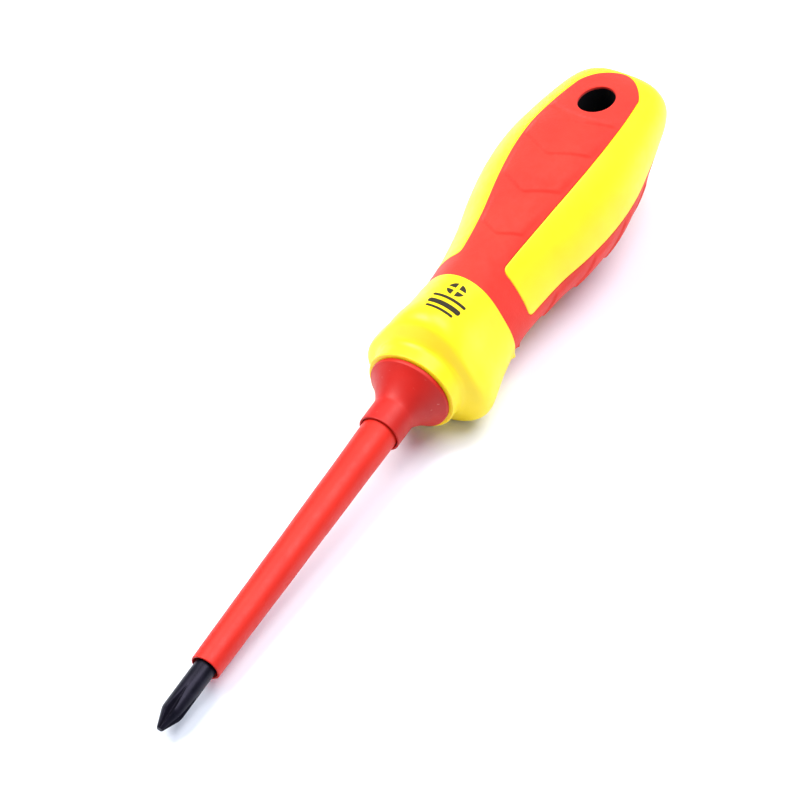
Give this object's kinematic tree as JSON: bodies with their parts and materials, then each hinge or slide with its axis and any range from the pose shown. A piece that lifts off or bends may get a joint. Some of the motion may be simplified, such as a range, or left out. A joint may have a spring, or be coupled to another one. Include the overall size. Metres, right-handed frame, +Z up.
{
  "type": "insulated screwdriver",
  "caption": "Insulated cross-slot screwdriver with a sleeved round blade, a three-lobed two-colour handle with a guard, and a hanging hole.",
  "frame": {"origin": "on the surface that the tool lies on, under the middle of its box", "axes": "+Z up from that surface, through the petal with the hanging hole; +X level, towards the blade's tip; the blade's axis lies in the XZ plane and dips 4.8 degrees towards the tip, because the tool rests on its belly and its guard"},
  "size_m": [0.2074, 0.0358, 0.0359],
  "materials": {
    "black_steel": "black oxide over ground steel, satin",
    "red_sleeve": "moulded insulating plastic, satin",
    "red_cone": "moulded insulating plastic, satin",
    "core_plastic": "plain moulded plastic, hidden inside the handle",
    "yellow_plastic": "moulded plastic, smooth satin",
    "red_grip": "soft overmould, fine matte grain",
    "print_ink": "pad-printed ink, matt"
  },
  "bodies": {
    "root": {"blade": "black_steel", "blade_sleeve": "red_sleeve", "nose_cone": "red_cone", "handle_core": "core_plastic", "guard": "yellow_plastic", "rear_shell": "yellow_plastic", "grip": "red_grip", "mark_disc": "print_ink", "mark_bar_1": "print_ink", "mark_bar_2": "print_ink", "mark_bar_3": "print_ink"}
  },
  "joints": []
}
